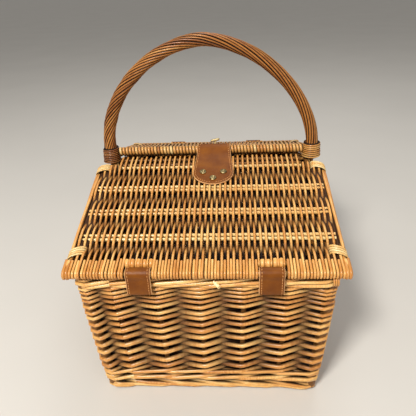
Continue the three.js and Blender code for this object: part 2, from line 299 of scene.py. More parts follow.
def rodTree():  # guide lines become rods or flat skeins
    tree, board, given = newTree("rodsFromGuides", [
        ("Guides", "INPUT", "NodeSocketGeometry"), ("Sides", "INPUT", "NodeSocketInt"),
        ("Flatness", "INPUT", "NodeSocketFloat"), ("Unevenness", "INPUT", "NodeSocketFloat"),
        ("Seed", "INPUT", "NodeSocketFloat"), ("Finish", "INPUT", "NodeSocketMaterial"),
        ("Rods", "OUTPUT", "NodeSocketGeometry")])
    lines = board.add("GeometryNodeMeshToCurve", {}, {0: given["Guides"]})
    rough = board.add("ShaderNodeTexNoise", {"noise_dimensions": "4D"}, {
        "W": given["Seed"], "Scale": 45.0, "Detail": 1.0}, "Color")
    centred = board.add("ShaderNodeVectorMath", {"operation": "SUBTRACT"}, {0: rough, 1: (0.5, 0.5, 0.5)})
    drift = board.add("ShaderNodeVectorMath", {"operation": "SCALE"}, {0: centred, 3: given["Unevenness"]})
    moved = board.add("GeometryNodeSetPosition", {}, {"Geometry": lines, "Offset": drift})
    outward = named(board, "outward", "FLOAT_VECTOR")
    faced = board.add("GeometryNodeSetCurveNormal", {"mode": "FREE"}, {"Curve": moved, "Normal": outward})
    length = board.add("GeometryNodeSplineParameter", output="Length")
    measured = stored(board, faced, "alongRod", length, "FLOAT")
    circle = board.add("GeometryNodeCurvePrimitiveCircle", {"mode": "RADIUS"}, {
        "Resolution": given["Sides"], "Radius": 1.0})
    ringed = stored(board, circle, "ringPlace", board.add("GeometryNodeInputPosition"), "FLOAT_VECTOR")
    squeeze = board.add("ShaderNodeCombineXYZ", {}, {0: given["Flatness"], 1: 1.0, 2: 1.0})
    flattened = board.add("GeometryNodeTransform", {}, {"Geometry": ringed, "Scale": squeeze})
    endTree(board, board.add("GeometryNodeCurveToMesh", {}, {
        "Curve": measured, "Profile Curve": flattened, "Scale": named(board, "rodRadius", "FLOAT"),
        "Fill Caps": True}), given["Finish"])
    return tree


def scatterTree():  # one small shape is set at every guide point, turned to its surface
    tree, board, given = newTree("shapesOnPoints", [
        ("Places", "INPUT", "NodeSocketGeometry"), ("Shape", "INPUT", "NodeSocketObject"),
        ("Size", "INPUT", "NodeSocketFloat"), ("Finish", "INPUT", "NodeSocketMaterial"),
        ("Shapes", "OUTPUT", "NodeSocketGeometry")])
    shape = board.add("GeometryNodeObjectInfo", {"transform_space": "ORIGINAL"}, {
        "Object": given["Shape"]}, "Geometry")
    turn = board.add("FunctionNodeAxesToRotation", {"primary_axis": "Z", "secondary_axis": "X"}, {
        "Primary Axis": named(board, "outward", "FLOAT_VECTOR"),
        "Secondary Axis": named(board, "forward", "FLOAT_VECTOR")})
    size = board.add("ShaderNodeCombineXYZ", {}, {0: given["Size"], 1: given["Size"], 2: given["Size"]})
    endTree(board, board.add("GeometryNodeInstanceOnPoints", {}, {
        "Points": given["Places"], "Instance": shape, "Rotation": turn, "Scale": size}), given["Finish"])
    return tree


rodsFromGuides = rodTree()
shapesOnPoints = scatterTree()


def plainMesh(name, points, edges=(), faces=()):
    mesh = bpy.data.meshes.new(name)
    mesh.from_pydata([tuple(p) for p in np.asarray(points, float) * mm], edges, faces)
    mesh.update()
    return mesh


def addValues(mesh, name, values):  # one number or one vector at each point
    values = np.asarray(values, np.float32)
    kind, field = ("FLOAT", "value") if values.ndim == 1 else ("FLOAT_VECTOR", "vector")
    mesh.attributes.new(name, kind, "POINT").data.foreach_set(field, values.ravel())


def track(x, y, z):  # points from their coordinates, any of which may be the same all along
    return np.stack(np.broadcast_arrays(x, y, z), 1)


def bakeTree(name, mesh, tree, inputs):
    guide = bpy.data.objects.new(name + "Guides", mesh)
    bpy.context.scene.collection.objects.link(guide)
    growth = guide.modifiers.new("growth", "NODES")
    growth.node_group = tree
    sockets = {item.name: item.identifier for item in tree.interface.items_tree if item.in_out == "INPUT"}
    for label, value in inputs.items():
        growth[sockets[label]] = value
    seen = guide.evaluated_get(bpy.context.evaluated_depsgraph_get())
    made = bpy.data.meshes.new_from_object(seen)
    bpy.data.objects.remove(guide)
    made.name = name
    corners = np.empty(len(made.polygons), int)
    made.polygons.foreach_get("loop_total", corners)
    made.polygons.foreach_set("use_smooth", corners == 4)
    made.update()
    piece = bpy.data.objects.new(name, made)
    bpy.context.scene.collection.objects.link(piece)
    return piece


class Rods:  # gathers guide lines, then grows them all at once
    def __init__(self):
        self.lines = []
        self.values = {"rodRadius": [], "tint": [], "shade": [], "depth": [], "outward": []}

    # shade and depth are painted shade: shade darkens the whole rod, depth lightens its outward side and
    # darkens its inward side
    def add(self, points, radius, tint=0.5, shade=1.0, outward=(0, 0, 1), depth=0.0):
        count = len(points)
        self.lines.append(points)
        given = {"rodRadius": radius * mm, "tint": tint, "shade": shade, "depth": depth}
        for name, value in given.items():
            self.values[name].append(np.broadcast_to(value, count))
        self.values["outward"].append(np.broadcast_to(outward, (count, 3)))

    def grow(self, name, finish, sides=8, flatness=1.0, unevenness=0.0, seed=1.0):
        edges = []
        start = 0
        for line in self.lines:
            edges += [(start + i, start + i + 1) for i in range(len(line) - 1)]
            start += len(line)
        mesh = plainMesh(name, np.vstack(self.lines), edges)
        for label, columns in self.values.items():
            addValues(mesh, label, np.concatenate(columns))
        return bakeTree(name, mesh, rodsFromGuides, {
            "Sides": sides, "Flatness": flatness, "Unevenness": unevenness * mm,
            "Seed": seed, "Finish": finish})


# Sizes shared by several pieces

basketSizes = {
    "footHalfWidth": 139.0,
    "footHalfLength": 201.0,
    "lean": 10.0 / 177.0,
    "wallInset": 8.0,
    "cornerRadius": 4.0,
    "cornerPostRadius": 6.4,
    "stakeRadius": 3.3,
    "cornerBulge": 3.2,
    "cornerReach": 22.0,
    "hingeY": 210.5,
    "hingeZ": 199.5,
    "slope": math.radians(16.5),
    "lidThickness": 11.0,
    "closureX": 6.0,
    "gableEnd": 205.0,
}
lean = basketSizes["lean"]
hingeY = basketSizes["hingeY"]
hingeZ = basketSizes["hingeZ"]
slope = basketSizes["slope"]
closureX = basketSizes["closureX"]
gableEnd = basketSizes["gableEnd"]


def lidTop(y):
    half = basketSizes["lidThickness"] / 2 / math.cos(slope)
    return hingeZ + half + (hingeY - np.abs(y)) * math.tan(slope)


def onLid(side, points):  # from a lid's own frame, origin on its hinge stick, to the basket's
    points = np.asarray(points, float)
    x, y, z = points[:, 0], points[:, 1], points[:, 2]
    out = y * math.cos(slope) - z * math.sin(slope)
    up = y * math.sin(slope) + z * math.cos(slope)
    return track(-side * x, side * (hingeY - out), hingeZ + up)


def turnedToLid(side, directions):
    return onLid(side, directions) - np.array([0.0, side * hingeY, hingeZ])


def lidNormal(side):
    return np.array([0.0, side * math.sin(slope), math.cos(slope)])


# The wall's middle line, seen from above, as a ring that stakes are numbered along

ringHalfX = basketSizes["footHalfWidth"] - basketSizes["wallInset"]
ringHalfY = basketSizes["footHalfLength"] - basketSizes["wallInset"]
ringCorner = basketSizes["cornerRadius"]
straightX = ringHalfX - ringCorner
straightY = ringHalfY - ringCorner
arcLength = math.pi / 2 * ringCorner
ringLengths = [2 * straightX, arcLength, 2 * straightY, arcLength] * 2
ringStarts = np.concatenate([[0], np.cumsum(ringLengths)])
ringTotal = ringStarts[-1]

frontStakes = np.array([-104.5, -55.5, -6.0, 42.5, 91.5]) / 1.04
sideStakes = np.linspace(-157.5, 157.5, 8)
stakePlaces = np.concatenate([
    ringStarts[0] + straightX + frontStakes,
    [ringStarts[1] + arcLength / 2],
    ringStarts[2] + straightY + sideStakes,
    [ringStarts[3] + arcLength / 2],
    ringStarts[4] + straightX + frontStakes,
    [ringStarts[5] + arcLength / 2],
    ringStarts[6] + straightY + sideStakes,
    [ringStarts[7] + arcLength / 2],
])
stakeCount = len(stakePlaces)
cornerStakes = [5, 14, 20, 29]


def ringPoint(distance, height, outward=0.0):  # points of the wall, and which way it faces there
    distance = np.mod(np.asarray(distance, float), ringTotal)
    part = np.clip(np.searchsorted(ringStarts, distance, "right") - 1, 0, 7)
    within = distance - ringStarts[part]
    quarter = part // 2
    angle = quarter * math.pi / 2 - math.pi / 2 + np.where(part % 2 == 1, within / ringCorner, 0)
    normal = track(np.cos(angle), np.sin(angle), 0.0)
    signX = np.where(np.isin(part, [1, 2, 3]), 1, np.where(np.isin(part, [5, 6, 7]), -1, 0))
    signY = np.where(np.isin(part, [3, 4, 5]), 1, np.where(np.isin(part, [7, 0, 1]), -1, 0))
    spread = height * lean
    half = np.where(part % 4 == 0, straightX, straightY)
    travel = within - half
    stretch = travel * (1 + spread / half)
    x = np.where(part == 0, stretch, np.where(part == 4, -stretch, signX * (straightX + spread)))
    y = np.where(part == 2, stretch, np.where(part == 6, -stretch, signY * (straightY + spread)))
    push = ringCorner + outward
    return track(x + normal[:, 0] * push, y + normal[:, 1] * push, height), normal


def cornerSwell(distance):  # the weave stands out where it passes the thick corner posts
    swell = np.zeros(len(distance))
    for index in cornerStakes:
        away = np.abs(np.mod(distance - stakePlaces[index] + ringTotal / 2, ringTotal) - ringTotal / 2)
        swell = swell + basketSizes["cornerBulge"] * np.exp(-((away / basketSizes["cornerReach"]) ** 2))
    return swell


def stakeDistance(count):  # distance round the ring at a stake number that may lie between two stakes
    turns = np.floor(count / stakeCount)
    within = count - turns * stakeCount
    places = np.append(stakePlaces, stakePlaces[0] + ringTotal)
    return np.interp(within, np.arange(stakeCount + 1), places) + turns * ringTotal


def gable(points):  # how far the side rims rise above the end rims at this place
    y = np.abs(points[:, 1])
    rise = (gableEnd - y) * math.tan(slope)
    return np.where(np.abs(points[:, 0]) > 100, np.maximum(rise, 0), 0)


def roundedSwing(phase):  # like a cosine, but straighter between its turns
    return np.arcsin(0.985 * np.cos(phase)) / math.asin(0.985)


plainRow = {  # what a row of weave has when nothing else is said
    "inFront": 1,
    "behind": 1,
    "steps": 10,
    "between": (0, stakeCount),
    "sag": 0.0,
    "dip": 0.0,
    "wobble": 0.55,
    "outset": 0.0,
    "brighten": 0.0,
    "shade": 0.24,
    "followGable": False,
}


def weaveRow(rods, **changes):
    row = {**plainRow, **changes}
    inFront = row["inFront"]
    period = inFront + row["behind"]
    first, last = row["between"]
    marks = np.arange(math.floor(first), math.ceil(last) + 1)
    for strand in range(period):
        number = np.linspace(first, last, int((last - first) * row["steps"]) + 1)
        shifted = np.mod(number - strand + 0.5, period)
        frontPart = shifted < inFront
        travel = np.where(frontPart, shifted / inFront, (shifted - inFront) / row["behind"])
        swing = np.where(frontPart, 1, -1) * roundedSwing((travel - 0.5) * math.pi)
        if inFront > 1:
            swing = np.clip(swing * 1.7, -1, 1)
        rise = np.where(frontPart, 2 * travel - 1, 1 - 2 * travel)
        rise = np.sign(rise) * np.abs(rise) ** 0.9
        bent = 1 - np.abs(2 * travel - 1)  # 1 at the stake, 0 where the rod goes in or comes out
        sag = np.where(frontPart, row["sag"] * bent, row["dip"] * np.sin(bent * math.pi / 2))
        wobble = np.interp(number, marks, dice.normal(0, row["wobble"], len(marks)))
        height = row["height"] + row["rise"] * rise - sag + wobble
        distance = stakeDistance(number)
        reach = swing * row["swing"] + row["outset"] + cornerSwell(distance)
        line, normal = ringPoint(distance, height, reach)
        if row["followGable"]:
            line[:, 2] += gable(line)
        tint = row["tint"] + dice.normal(0, 0.06)
        tint = tint + np.interp(number, marks, dice.normal(0, 0.06, len(marks)))
        # Painted light: the stretch in front of the stakes gets lighter towards the end it runs to
        tint = tint + np.where(frontPart, (travel - 0.5) * row["brighten"], 0)
        radius = row["radius"] * (1 + dice.normal(0, 0.05))
        radius = radius * (1 + 0.05 * np.sin(number * 0.9 + strand * 2.1))
        # The row's shade and the swing as depth paint shade: strokes passing behind go dark, strokes in
        # front are lit on their outer side
        rods.add(line, radius, tint, row["shade"], normal, swing * 1.05)


wallRows = {
    "thick": [46.5, 59.0, 72.2, 85.5, 98.6, 109.9, 121.4, 131.4, 139.9, 149.6],
    "fine": [157.4, 164.2, 170.9, 176.9],
    "thickest": 3.15,
    "thinnest": 2.45,
    "firstShort": 178.0,
    "gableFoot": 173.5,
    "shortPitch": 6.6,
    "shortCount": 9,
    "leastReach": 22.0,
    "stakePitch": 45.0,
    "gableStakes": (6, 21),
    "startBand": 34.6,
}

siding = Rods()
for index, height in enumerate(wallRows["thick"]):
    share = index / (len(wallRows["thick"]) - 1)
    thick = wallRows["thickest"] + (wallRows["thinnest"] - wallRows["thickest"]) * share
    weaveRow(siding, height=height, rise=thick, swing=6.2, radius=thick, tint=0.56, sag=0.5,
             dip=6.4 - 1.6 * share, brighten=0.1, steps=12)
for height in wallRows["fine"]:
    weaveRow(siding, height=height, rise=1.7, swing=5.4, radius=2.1, tint=0.56, sag=0.3, dip=3.3,
             brighten=0.1)
middle = (len(sideStakes) - 1) / 2
for strip in range(wallRows["shortCount"]):  # short rows fill each side wall up to its sloping rim
    height = wallRows["firstShort"] + strip * wallRows["shortPitch"]
    reach = gableEnd - (height - wallRows["gableFoot"]) / math.tan(slope)
    if reach < wallRows["leastReach"]:
        continue
    halfCount = min(reach / wallRows["stakePitch"], middle + 0.4)
    for start in wallRows["gableStakes"]:
        between = (start + middle - halfCount, start + middle + halfCount)
        weaveRow(siding, height=height, rise=2.0, swing=5.4, radius=2.4, tint=0.52, dip=3.5, between=between)
weaveRow(siding, inFront=2, height=wallRows["startBand"], rise=3.0, swing=6.0, radius=2.7, tint=0.66)

fillSizes = {
    "radius": 2.3,
    "pitch": 4.2,
    "inset": 1.7,
    "low": 13.0,
    "high": 184.0,
    "peak": 252.0,
    "points": 280,
}
# The filling rods are painted shade, dark where the chinks would show the shadowed inside
filling = Rods()  # dark rods inside the wall, which close the chinks between its rows
fillRing = np.linspace(0, ringTotal, fillSizes["points"])
for height in np.arange(fillSizes["low"], fillSizes["high"], fillSizes["pitch"]):
    filling.add(ringPoint(fillRing, height, -fillSizes["inset"])[0], fillSizes["radius"], 0.3, 0.03)
for height in np.arange(fillSizes["high"], fillSizes["peak"], fillSizes["pitch"]):
    reach = gableEnd - (height - fillSizes["high"]) / math.tan(slope)
    for hand in (-1, 1):
        x = hand * (ringHalfX + height * lean - fillSizes["inset"])
        if reach > 6:
            filling.add(track(x, np.linspace(-reach, reach, 12), height), fillSizes["radius"], 0.3, 0.03)
wallFilling = filling.grow("wall_filling", shadeFillWillow, 6)
sidingWeave = siding.grow("wall_weave", willow, unevenness=0.5, seed=2.0)
print("wall weave", len(sidingWeave.data.polygons))

wale = Rods()
weaveRow(wale, inFront=2, height=22.8, rise=3.3, swing=5.6, radius=2.9, tint=0.6)
waleWeave = wale.grow("lower_wale_weave", paleWillow, unevenness=0.5, seed=3.0)

foot = Rods()
weaveRow(foot, inFront=3, height=7.0, rise=-4.4, swing=5.6, outset=-1.2, radius=2.55, tint=0.6, wobble=0.1)
ringSweep = np.linspace(0, ringTotal, 260)
# the inner ring of the foot is darkened with painted shade
foot.add(ringPoint(ringSweep, 8.5, -1.5)[0], 3.0, 0.3, 0.25)
footWeave = foot.grow("foot_border_rods", paleWillow)

stakeSizes = {
    "foot": 5.0,
    "cornerTop": 184.0,
    "cornerOutset": 3.0,
    "sideTop": 187.0,
    "legX": 133.0,
    "legLow": 34.0,
    "legHigh": 255.0,
    "legRadius": 3.9,
}
stakes = Rods()
for index, distance in enumerate(stakePlaces):
    corner = index in cornerStakes
    heights = np.linspace(stakeSizes["foot"], stakeSizes["cornerTop"], 24)
    outset = stakeSizes["cornerOutset"] if corner else 0.0
    line, normal = ringPoint(np.full(24, distance), heights, outset)
    if abs(line[12, 0]) > 100 and not corner:  # side stakes go on up to the sloping rim
        top = stakeSizes["sideTop"] + (gableEnd - abs(line[12, 1])) * math.tan(slope)
        line, normal = ringPoint(np.full(30, distance), np.linspace(stakeSizes["foot"], top, 30))
    thick = basketSizes["cornerPostRadius"] if corner else basketSizes["stakeRadius"]
    # stakes are darkened with painted shade
    stakes.add(line, thick, 0.42 + dice.normal(0, 0.05), 0.3, normal[0])
legHeights = np.linspace(stakeSizes["legLow"], stakeSizes["legHigh"], 20)
for hand in (-1, 1):  # the two ends of the handle's hoop, pushed down inside the side walls
    line = track(hand * (stakeSizes["legX"] + legHeights * lean), 0, legHeights)
    # the handle's ends get painted shade too
    stakes.add(line, stakeSizes["legRadius"], 0.35, 0.45, (0, 1, 0))
stakeRods = stakes.grow("wall_stakes", willow, 10)
print("stakes", len(stakeRods.data.polygons))

rimSizes = {"height": 184.7, "coreHeight": 188.4, "coreRadius": 4.4}
rim = Rods()
weaveRow(rim, inFront=3, height=rimSizes["height"], rise=6.1, swing=5.9, radius=2.45, tint=0.62, steps=8,
         followGable=True, brighten=0.12)
topRing = ringPoint(ringSweep, rimSizes["coreHeight"])[0]
topRing[:, 2] += gable(topRing)
# the border's core rod is darkened with painted shade
rim.add(topRing, rimSizes["coreRadius"], 0.42, 0.35)
bindSizes = {"x": 140.5, "pitch": 2.4, "turns": 3, "reachY": 9.4, "reachZ": 6.6, "skeinHalfWidth": 1.25}
turn = np.linspace(0, bindSizes["turns"] * 2 * math.pi, bindSizes["turns"] * 18)
bindOut = track(0, np.cos(turn), np.sin(turn))
for cornerX, cornerY in ((1, -1), (-1, 1)):  # a skein ties down the last rod of the border
    x = cornerX * (bindSizes["x"] + bindSizes["pitch"] * turn / (2 * math.pi))
    y = cornerY * gableEnd + bindSizes["reachY"] * np.cos(turn)
    z = rimSizes["coreHeight"] + bindSizes["reachZ"] * np.sin(turn)
    # the binding skein gets painted shade, lit on its outward side
    rim.add(track(x, y, z), bindSizes["skeinHalfWidth"], 0.5, 0.2, bindOut, 0.8)
for cutX, cutY in ((10.0, -1), (-48.0, 1)):  # a rod's cut end pokes out under the border
    start = np.array([cutX, cutY * 209.0, 187.0])
    rim.add(np.stack([start, start + np.array([6.0, cutY * 5.2, -3.4])]), 2.3, 0.98, 1.0)
rimWeave = rim.grow("rim_border_rods", paleWillow, 10, unevenness=0.4, seed=5.0)
print("rim", len(rimWeave.data.polygons))


# A flat panel: rods run over and under the sticks that cross them

def overUnder(y, places, start, amplitude, plateau):
    signs = start * (-1.0) ** np.arange(len(places))
    keysY = []
    keysZ = []
    for place, sign in zip(places, signs):
        keysY += [place - plateau, place + plateau]
        keysZ += [sign * amplitude, sign * amplitude]
    keysY = np.array(keysY)
    keysZ = np.array(keysZ)
    part = np.clip(np.searchsorted(keysY, y, "right") - 1, 0, len(keysY) - 2)
    share = np.clip((y - keysY[part]) / (keysY[part + 1] - keysY[part]), 0, 1)
    eased = (1 - np.cos(share * math.pi)) / 2
    return keysZ[part] + (keysZ[part + 1] - keysZ[part]) * eased


baseSizes = {
    "halfWidth": 123.0,
    "halfLength": 185.0,
    "height": 8.2,
    "sticks": [-100.0, -60.0, -20.0, 20.0, 60.0, 100.0],
    "rodPitch": 4.5,
    "rodRadius": 2.1,
    "stickRadius": 2.5,
    "frameRadius": 4.2,
    "swing": 2.7,
}
baseWidth = baseSizes["halfWidth"]
baseLength = baseSizes["halfLength"]
base = Rods()
for index in range(int(2 * (baseLength - 4) / baseSizes["rodPitch"])):
    y = -baseLength + 5 + index * baseSizes["rodPitch"]
    x = np.linspace(-baseWidth + 1, baseWidth - 1, 56)
    z = overUnder(x, baseSizes["sticks"], 1 if index % 2 else -1, baseSizes["swing"], 2.5)
    line = track(x, y + dice.normal(0, 0.2), baseSizes["height"] + z)
    tint = 0.5 + dice.normal(0, 0.1)
    # base rods get painted shade, lit where they pass over the sticks
    base.add(line, baseSizes["rodRadius"], tint, 0.45, (0, 0, 1), z / baseSizes["swing"])
# the base sticks and the frame get lighter painted shade
for x in baseSizes["sticks"]:
    for beside in (-2.6, 2.6):
        y = np.linspace(-baseLength + 2, baseLength - 2, 12)
        base.add(track(x + beside, y, baseSizes["height"]), baseSizes["stickRadius"], 0.7, 0.8)
frameTurn = np.linspace(0, 2 * math.pi, 121)
frameX = np.clip(np.cos(frameTurn) * 200, -baseWidth, baseWidth)
frameY = np.clip(np.sin(frameTurn) * 260, -baseLength, baseLength)
base.add(track(frameX, frameY, baseSizes["height"]), baseSizes["frameRadius"], 0.45, 0.6)
baseWeave = base.grow("base_weave", willow, 7)
print("base", len(baseWeave.data.polygons))


# Lids

lidSizes = {
    "rods": 88,
    "halfSpan": 151.3,
    "rodRadius": 1.56,
    "sticks": [54.0, 97.0, 141.5, 190.0],
    "stickGaps": [3.1, 3.1, 3.1, 3.0],
    "stickRadius": 2.25,
    "edgeStick": 14.0,
    "innerStick": 205.0,
    "amplitude": 4.2,
    "plateau": 4.2,
    "wrapRadius": 4.6,
    "innerEnd": 209.5,
    "cornerEnd": 190.0,
    "collarX": 128.5,
    "strapX": 74.0,
    "strapGap": 15.7,
    "railX": [154.6, 158.0],
    "railRadius": 2.0,
    "railWrap": 4.9,
    "fillers": [(-8.4, 0.6), (-5.0, 0.6), (-1.5, 0.5), (1.8, 1.2), (5.0, 1.5)],
    "fillerRadius": 2.3,
}


def wrapRound(centreY, radius, fromTop, steps=7):  # half a turn round a stick, on its outer side
    angle = np.linspace(math.pi / 2, 1.5 * math.pi, steps)
    if not fromTop:
        angle = angle[::-1]
    return centreY + radius * np.cos(angle), radius * np.sin(angle)


def addOnLid(rods, side, x, y, z, radius, tint, shade=1.0, outward=(0, 0, 1), depth=0.0):
    rods.add(onLid(side, track(x, y, z)), radius, tint, shade, outward, depth)


def lidRod(rods, side, x, kind):
    sizes = lidSizes
    sticks = sizes["sticks"]
    plateau = sizes["plateau"]
    amplitude = sizes["amplitude"]
    nearStrap = min(abs(x - sizes["strapX"]), abs(x + sizes["strapX"])) < sizes["strapGap"]
    end = sizes["cornerEnd"] if abs(x) > sizes["collarX"] - 1.5 else sizes["innerEnd"]
    end = end + dice.normal(0, 0.5)
    startSign = 1 if kind == 0 else -1
    y = np.arange(20.0, end, 3.0)
    z = overUnder(y, sticks, startSign, amplitude, plateau)
    climb = (1 - np.cos(np.clip((y - 20) / (sticks[0] - plateau - 20), 0, 1) * math.pi)) / 2
    z = np.where(y < sticks[0] - plateau, startSign * amplitude * (2 * climb - 1), z)
    z = np.where(y > sticks[-1] + plateau, z * np.clip(1 - (y - sticks[-1] - plateau) / 26, 0, 1), z)
    wrapCentre = sizes["edgeStick"] - 0.5 if nearStrap else 0.0
    wrapRadius = 4.3 if nearStrap else sizes["wrapRadius"]
    tail = wrapCentre + (2.2 if nearStrap else 15.0) + dice.normal(0, 0.7)
    wrapY, wrapZ = wrapRound(wrapCentre, wrapRadius, kind == 0)
    if kind == 0:  # comes up round the edge from below and ends on top, cut square
        startY = [tail, (tail + wrapCentre) / 2]
        startZ = [wrapRadius + 0.3, wrapRadius + 0.3]
    else:  # goes over the edge and ends underneath
        startY = [wrapCentre + 13.0, wrapCentre + 5.0]
        startZ = [-wrapRadius, -wrapRadius]
    keep = y > wrapCentre + 11.0
    allY = np.concatenate([startY, wrapY, [wrapCentre + 6.0], y[keep]])
    allZ = np.concatenate([startZ, wrapZ, [-startSign * wrapRadius], z[keep]])
    under = np.clip(-allZ / amplitude, 0, 1) * (allY > 22)
    slip = np.zeros(len(allY))
    for place in sticks:
        near = np.exp(-((allY - place) / 13.0) ** 2)
        slip = slip + near * under * dice.choice([-1, 1]) * dice.uniform(0.6, 1.7)
    bow = dice.normal(0, 0.35) * np.sin(allY / 60.0 + dice.uniform(0, 6))
    radius = np.full(len(allY), sizes["rodRadius"] * (1 + dice.normal(0, 0.05)))
    if nearStrap:
        radius = np.where(np.abs(allY - wrapCentre) < 7.0, 2.6 if kind == 0 else 1.1, radius)
    else:
        radius = np.where(allY < 16.0, 1.58, radius)
    swing = np.clip(allZ / amplitude, -1, 1)
    facing = np.tile([0.0, 0.0, 1.0], (len(allY), 1))
    wrapped = slice(2, 2 + len(wrapY))
    facing[wrapped] = track(0, wrapY - wrapCentre, wrapZ) / wrapRadius
    swing[wrapped] = 1.0
    # Painted light: rods lying over the sticks are a little lighter; shade and depth below add painted shade
    # where they dive under
    tint = 0.54 + dice.normal(0, 0.07) + 0.07 * np.clip(allZ / amplitude, 0, 1)
    outward = turnedToLid(side, facing)
    addOnLid(rods, side, x + slip + bow, allY, allZ, radius, tint, 0.44, outward, swing * 0.95)


def lidSticks(rods, side):
    sizes = lidSizes
    span = sizes["halfSpan"] + 1.0
    for index, (place, gap) in enumerate(zip(sizes["sticks"], sizes["stickGaps"])):
        half = sizes["collarX"] if index == 3 else span
        x = np.linspace(-half, half, 60)
        for y in (place - gap, place + gap):
            innermost = y > sizes["sticks"][-1]
            # the innermost stick, lying under the rods, gets a darker tint and painted shade
            tint = (0.5 if innermost else 0.75) + dice.normal(0, 0.06)
            addOnLid(rods, side, x, y + 0.3 * np.sin(x * 0.02 + index * 2), 0.25 * np.sin(x * 0.3 + index),
                     sizes["stickRadius"], tint, 0.3 if innermost else 1.0)
    # the edge, inner and hinge sticks get painted shade, lighter where the hinge stick is bare at the straps
    addOnLid(rods, side, np.linspace(-span, span, 40), sizes["edgeStick"], 0, 2.6, 0.6, 0.6)
    x = np.linspace(-sizes["collarX"], sizes["collarX"], 40)
    addOnLid(rods, side, x, sizes["innerStick"], -1.5, 2.3, 0.45, 0.3)
    x = np.linspace(-159.0, 159.0, 240)
    bare = np.minimum(np.abs(x - sizes["strapX"]), np.abs(x + sizes["strapX"])) < sizes["strapGap"]
    addOnLid(rods, side, x, 0, 0, np.where(bare, 3.9, 3.0), 0.6, np.where(bare, 0.8, 0.3))


def lidRails(rods, side):
    sizes = lidSizes
    for hand in (-1, 1):
        for index, railX in enumerate(sizes["railX"]):
            wrapY, wrapZ = wrapRound(0.0, sizes["railWrap"], index == 1)
            top = sizes["railWrap"] * (1 - 2 * index)
            y = np.linspace(12.0, sizes["cornerEnd"] + 2 - 3 * index, 40)
            z = top + (2.5 * index - 2.0 - top) * np.clip((y - 12.0) / 30.0, 0, 1) ** 0.7
            allY = np.concatenate([[16.0, 6.0], wrapY, y])
            allZ = np.concatenate([[-top, -top], wrapZ, z])
            x = hand * (railX + 0.3 * np.sin(allY / 23.0 + index))
            thick = sizes["railRadius"] * np.where(allY > 165, 1 - (allY - 165) / 60, 1.0)
            # the rails carry slight painted shade
            addOnLid(rods, side, x, allY, allZ, thick, 0.5 + dice.normal(0, 0.08), 0.9, (1, 0, 0))
        # Painted shade: dark filler rods stand in for the shadow in the chinks beside the rails
        y = np.linspace(20.0, sizes["cornerEnd"] - 2.0, 30)  # dark rods close the chinks beside the rails
        for reach, drop in sizes["fillers"]:
            x = hand * (sizes["halfSpan"] + reach)
            addOnLid(rods, side, x, y, -drop, sizes["fillerRadius"], 0.3, 0.1)
        y = np.linspace(5.0, 17.0, 9)  # the slanting cut of the rail's thick end
        oval = 0.4 + 1.9 * np.sin(np.linspace(0, math.pi, 9)) ** 0.6
        addOnLid(rods, side, hand * 155.4, y, 5.0, oval, 0.8)
        y = np.linspace(20.0, 172.0, 40)  # a third rod lies on the other two and ends loose
        x = hand * (156.2 + 0.8 * np.sin(y / 40.0))
        taper = np.clip((y - 16.0) / 22.0, 0.35, 1) * np.clip((178.0 - y) / 20.0, 0.35, 1)
        addOnLid(rods, side, x, y, 2.6 + 0.7 * np.sin(y / 31.0 + hand), 1.9 * taper, 0.62)


tieSizes = {
    "places": [29.0, 182.0],
    "turns": 4,
    "pitch": 3.3,
    "centreX": 150.6,
    "halfWidth": 9.2,
    "halfHeight": 6.0,
    "skeinHalfWidth": 1.6,
    "slant": 6.0,
}


def lidTies(rods, side):
    sizes = tieSizes
    turn = np.linspace(0, sizes["turns"] * 2 * math.pi, sizes["turns"] * 20 + 1)
    across = np.abs(np.cos(turn)) ** 0.8 * np.sign(np.cos(turn))
    along = (turn / (2 * math.pi) - sizes["turns"] / 2) * sizes["pitch"] - sizes["slant"] * across / 2
    for hand in (-1, 1):
        x = hand * (sizes["centreX"] + sizes["halfWidth"] * across)
        outward = turnedToLid(side, track(hand * np.cos(turn), 0, np.sin(turn)))
        for place in sizes["places"]:
            # Painted light: each skein is lighter at the top of its turn; shade and depth paint shade on its
            # sides and underneath
            tint = 0.74 + 0.06 * np.sin(turn) + 0.08 * np.sin(turn * 0.31 + place + hand)
            addOnLid(rods, side, x, place + along, sizes["halfHeight"] * np.sin(turn),
                     sizes["skeinHalfWidth"], tint, 0.22, outward, 0.8)


lidPieces = {}
for lidName, side in (("front_lid", -1), ("rear_lid", 1)):
    weave = Rods()
    for index, x in enumerate(np.linspace(-lidSizes["halfSpan"], lidSizes["halfSpan"], lidSizes["rods"])):
        lidRod(weave, side, x, index % 2)
    sticks = Rods()
    lidSticks(sticks, side)
    rails = Rods()
    lidRails(rails, side)
    ties = Rods()
    lidTies(ties, side)
    lidPieces[lidName] = [
        weave.grow(lidName + "_rods", willow, unevenness=0.35, seed=7.0 + side),
        sticks.grow(lidName + "_sticks", paleWillow),
        rails.grow(lidName + "_rails", willow, unevenness=0.6, seed=9.0 + side),
        ties.grow(lidName + "_ties", paleWillow, flatness=0.6),
    ]
    print(lidName, [len(piece.data.polygons) for piece in lidPieces[lidName]])


# Handle, its collars and the bar between them

handleSizes = {
    "halfSpan": 147.0,
    "spring": 276.0,
    "rise": 142.5,
    "power": 1.8,
    "lean": -5.0,
    "footHeight": 253.0,
    "strands": 14,
    "strandRing": 7.2,
    "strandRadius": 1.56,
    "coreRadius": 6.2,
    "turnLeft": 125.0,
    "turnRight": 430.0,
}


